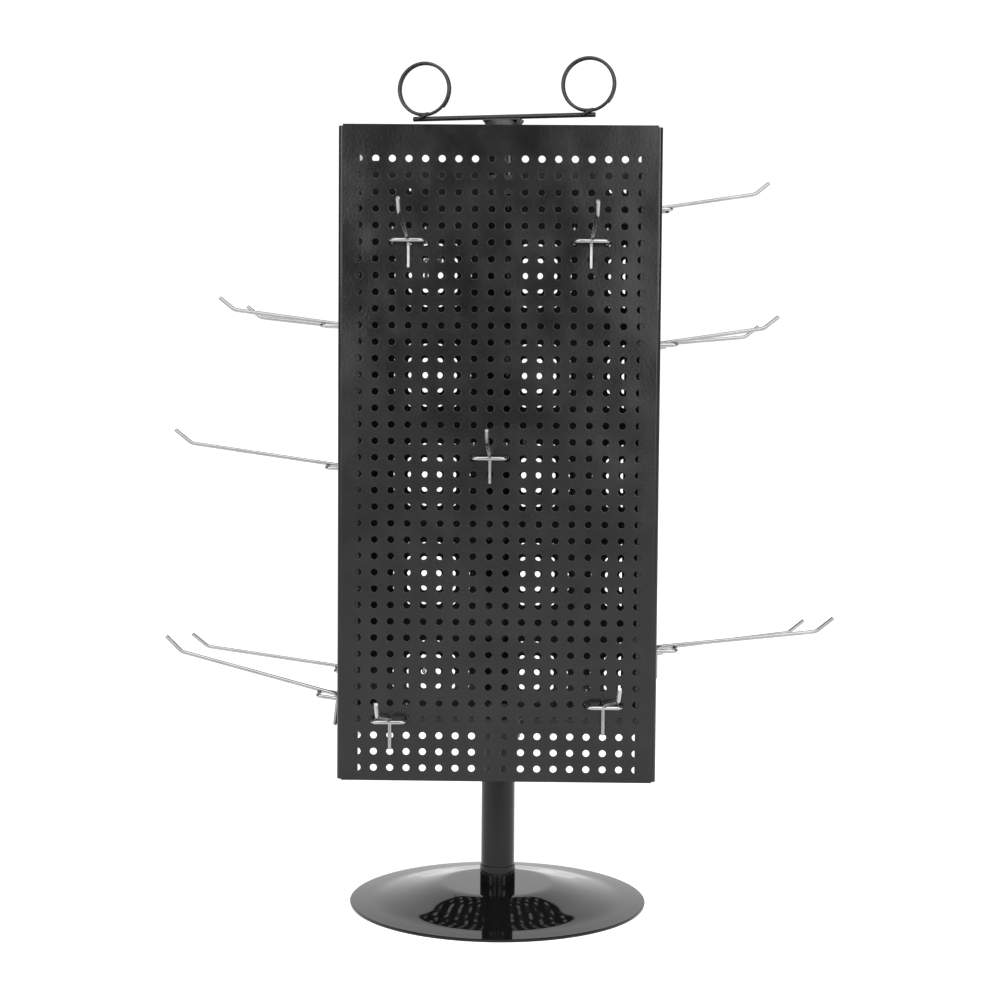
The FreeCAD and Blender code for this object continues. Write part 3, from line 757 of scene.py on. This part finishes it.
def make_clips():
    """Two ring clips, each a coil with its tail welded to the bar."""
    centre_z = BAR_Z + BAR_R + CLIP_R + CLIP_WIRE_R + CLIP_LIFT
    for node, x in CLIP_X.items():
        path = coil_path(x, centre_z)
        coil = tube_mesh(path, CLIP_WIRE_R - COIL_INSET, WIRE_SIDES, COIL_CHAMFER)
        low = Vector((x + TAIL_X, -(BAR_R + CLIP_WIRE_R + TAIL_GAP), BAR_Z - TAIL_DROP))
        high = path[-1]
        away = (high - low).normalized()
        tail = tube_mesh(split_runs([low, high + away * TAIL_OVERRUN], TAIL_RUN), CLIP_WIRE_R,
                         WIRE_SIDES, TAIL_CHAMFER, TAIL_WOBBLE)
        bead = nugget(high, COIL_BEAD_SIZE, x)
        foot_bead = nugget(low + Vector(FOOT_BEAD_AT), FOOT_BEAD_SIZE, x + FOOT_BEAD_SEED)
        clip = new_piece(node + "_wire", *joined(coil, tail, bead, foot_bead), WIRE_CREASE)
        clip.data.transform(turn_z(HOLDER_TURN))
        stands_for(clip, node)


def coil_path(x, centre_z):
    """Middle of the clip's wire: tilted half turns, lower and upper by turns."""
    path = []
    for k, (start, stop) in enumerate(CLIP_HALF_TURNS):
        side = 1.0 if k % 2 else -1.0
        y = CLIP_REAR_Y - k * CLIP_PITCH / 2.0
        middle = Vector((x, y - CLIP_PITCH / 4.0, centre_z))
        arm = Vector((x + side * CLIP_R, y, centre_z)) - middle
        rise = Vector((0, 0, side * arm.length))
        steps = math.ceil((stop - start) / COIL_STEP)
        for j in range(0 if k == 0 else 1, steps + 1):
            angle = math.radians(start + (stop - start) * j / steps)
            path.append(middle + arm * math.cos(angle) + rise * math.sin(angle))
    return path


# ---------------------------------------------------------------- carried-over CAD nodes

def paint_cad_nodes():
    """Bushings, straps, collar and the fastenings keep their CAD shape."""
    for node in ("lower_bushing", "upper_bushing", "lower_strap", "upper_strap", "stop_collar",
                 "collar_screw", "thrust_washer", "base_washer", "base_bolt", "post_insert"):
        mesh = frame["nodes"][node].data
        if not mesh.materials:
            mesh.materials.append(None)
        for k in range(len(mesh.materials)):
            mesh.materials[k] = MATERIALS[SLOT_OF[node]]


# ---------------------------------------------------------------- studio

FLOOR_HALF = 15000.0
# Painted light on the floor: emission up to this strength behind and beside the object, none in
# front of it (painted shade), by world Y.
PAINTED_GLOW_STRENGTH, PAINTED_GLOW_NONE_Y, PAINTED_GLOW_FULL_Y = 0.75, -0.6, -0.2

# Brightness round the object, from straight in front (0) to straight behind (1), and by height.
AROUND = [(0.0, 0.03), (0.014, 0.07), (0.042, 2.1), (0.09, 1.9), (0.15, 0.7), (0.28, 0.65),
          (0.42, 0.15), (0.78, 0.13), (0.88, 1.0)]
OVERHEAD = [(0.45, 0.0), (0.9, 0.5)]
AROUND_SHIFT, WORLD_STRENGTH = 0.035, 1.12

# location, target, width and height in metres, and watts
LIGHTS = {
    "top_softbox": ((0.25, -1.5, 2.0), (0, 0, 0.4), (2.0, 1.2), 15.0),
    "left_softbox": ((-1.7, -1.7, 1.2), (0, 0, 0.35), (0.6, 1.3), 16.0),
    "right_softbox": ((1.7, -1.7, 1.2), (0, 0, 0.35), (0.6, 1.3), 18.0),
    "right_fill": ((1.0, -2.9, 0.5), (0, 0, 0.38), (1.0, 1.9), 9.0),
    "left_fill": ((-1.0, -2.9, 0.5), (0, 0, 0.38), (1.0, 1.9), 5.0),
}

CAMERA_EYE = (0.02608, -1.62688, 0.44151)
CAMERA_YAW, CAMERA_PITCH, CAMERA_ROLL = 0.933, 3.32, 0.443
CAMERA_SENSOR, CAMERA_LENS, CAMERA_SHIFT_Y = 36.0, 70.385, -0.01038
CAMERA_CLIP = (0.05, 60.0)


def make_floor():
    """Pale paper with painted light: its emission glows beside and behind the object, as a lit
    sweep would look, and fades to none in front, a painted shade there.
    """
    h = FLOOR_HALF
    floor = new_piece("studio_floor", [(-h, -h, 0), (h, -h, 0), (h, h, 0), (-h, h, 0)],
                      [(0, 1, 2, 3)])
    n = Nodes("studio_floor_painted_glow")
    split = n.tree.nodes.new("ShaderNodeSeparateXYZ")
    n.link(n.coords, split.inputs["Vector"])
    tone = n.tones(n.noise(3.0, 2.0, 0.5), (0.84, 0.84, 0.84), (0.86, 0.86, 0.86))
    # Painted light and shade: the emission rises from none at the front to full glow behind, so
    # the floor glows though it is no lamp.
    n.set(Base_Color=tone, Emission_Color=tone,
          Emission_Strength=n.between(split.outputs["Y"], 0.0, PAINTED_GLOW_STRENGTH, PAINTED_GLOW_NONE_Y, PAINTED_GLOW_FULL_Y),
          Roughness=0.9, Specular_IOR_Level=0.0)
    floor.data.materials.append(n.material)


def make_world():
    """White behind, dim at both sides, and two light strips in front with a dark gap between."""
    world = bpy.data.worlds.new("studio")
    bpy.context.scene.world = world
    world.use_nodes = True
    tree = world.node_tree
    background = tree.nodes["Background"]
    coords = tree.nodes.new("ShaderNodeTexCoord")
    split = tree.nodes.new("ShaderNodeSeparateXYZ")
    tree.links.new(coords.outputs["Generated"], split.inputs["Vector"])

    def calculate(operation, *values):
        node = tree.nodes.new("ShaderNodeMath")
        node.operation = operation
        for socket, value in zip(node.inputs, values):
            if isinstance(value, float):
                socket.default_value = value
            else:
                tree.links.new(value, socket)
        return node.outputs[0]

    def ramp(source, high, stops):
        reach = tree.nodes.new("ShaderNodeMapRange")
        reach.inputs["From Min"].default_value = 0.0
        reach.inputs["From Max"].default_value = high
        tree.links.new(source, reach.inputs["Value"])
        node = tree.nodes.new("ShaderNodeValToRGB")
        node.color_ramp.interpolation = "EASE"
        while len(node.color_ramp.elements) < len(stops):
            node.color_ramp.elements.new(0.5)
        for element, (position, level) in zip(node.color_ramp.elements, stops):
            element.position = position
            element.color = (level, level, level, 1.0)
        tree.links.new(reach.outputs["Result"], node.inputs["Fac"])
        return node.outputs["Color"]

    across = calculate("ABSOLUTE", calculate("ADD", split.outputs["X"], AROUND_SHIFT))
    ahead = calculate("MULTIPLY", split.outputs["Y"], -1.0)
    mix = tree.nodes.new("ShaderNodeMix")
    mix.data_type = "RGBA"
    mix.blend_type = "LIGHTEN"
    mix.inputs["Factor"].default_value = 1.0
    first, second = [socket for socket in mix.inputs if socket.type == "RGBA"]
    colour = [socket for socket in mix.outputs if socket.type == "RGBA"][0]
    tree.links.new(ramp(calculate("ARCTAN2", across, ahead), math.pi, AROUND), first)
    tree.links.new(ramp(split.outputs["Z"], 1.0, OVERHEAD), second)
    tree.links.new(colour, background.inputs["Color"])
    background.inputs["Strength"].default_value = WORLD_STRENGTH


def make_lights():
    for name, (location, target, size, power) in LIGHTS.items():
        light = bpy.data.lights.new(name, "AREA")
        light.shape = "RECTANGLE"
        light.size, light.size_y = size
        light.energy = power
        lamp = bpy.data.objects.new(name, light)
        bpy.context.scene.collection.objects.link(lamp)
        lamp.location = location
        lamp.rotation_mode = "QUATERNION"
        aim = Vector(target) - Vector(location)
        lamp.rotation_quaternion = aim.to_track_quat("-Z", "Y")


def make_camera():
    """Eye a little above the middle of the box, looking slightly down, with a trace of roll."""
    turn = (Matrix.Rotation(math.radians(CAMERA_ROLL), 3, "Z")
            @ Matrix.Rotation(math.radians(CAMERA_PITCH), 3, "X")
            @ Matrix.Rotation(math.radians(CAMERA_YAW), 3, "Y"))
    right, down, ahead = [Vector((row[0], row[2], -row[1])) for row in turn]
    data = bpy.data.cameras.new("camera")
    camera = bpy.data.objects.new("camera", data)
    bpy.context.scene.collection.objects.link(camera)
    axes = [(x, -y, -z, eye) for x, y, z, eye in zip(right, down, ahead, CAMERA_EYE)]
    camera.matrix_world = Matrix((*axes, (0.0, 0.0, 0.0, 1.0)))
    data.sensor_width = CAMERA_SENSOR
    data.lens = CAMERA_LENS
    data.shift_y = CAMERA_SHIFT_Y
    data.clip_start, data.clip_end = CAMERA_CLIP
    bpy.context.scene.camera = camera


make_camera()
make_base()
make_panels()
make_hooks()
make_plug()
make_saddle()
make_bar()
make_clips()
paint_cad_nodes()
make_floor()
make_world()
make_lights()

bpy.context.scene.view_settings.view_transform = "Standard"
bpy.context.scene.view_settings.look = "None"
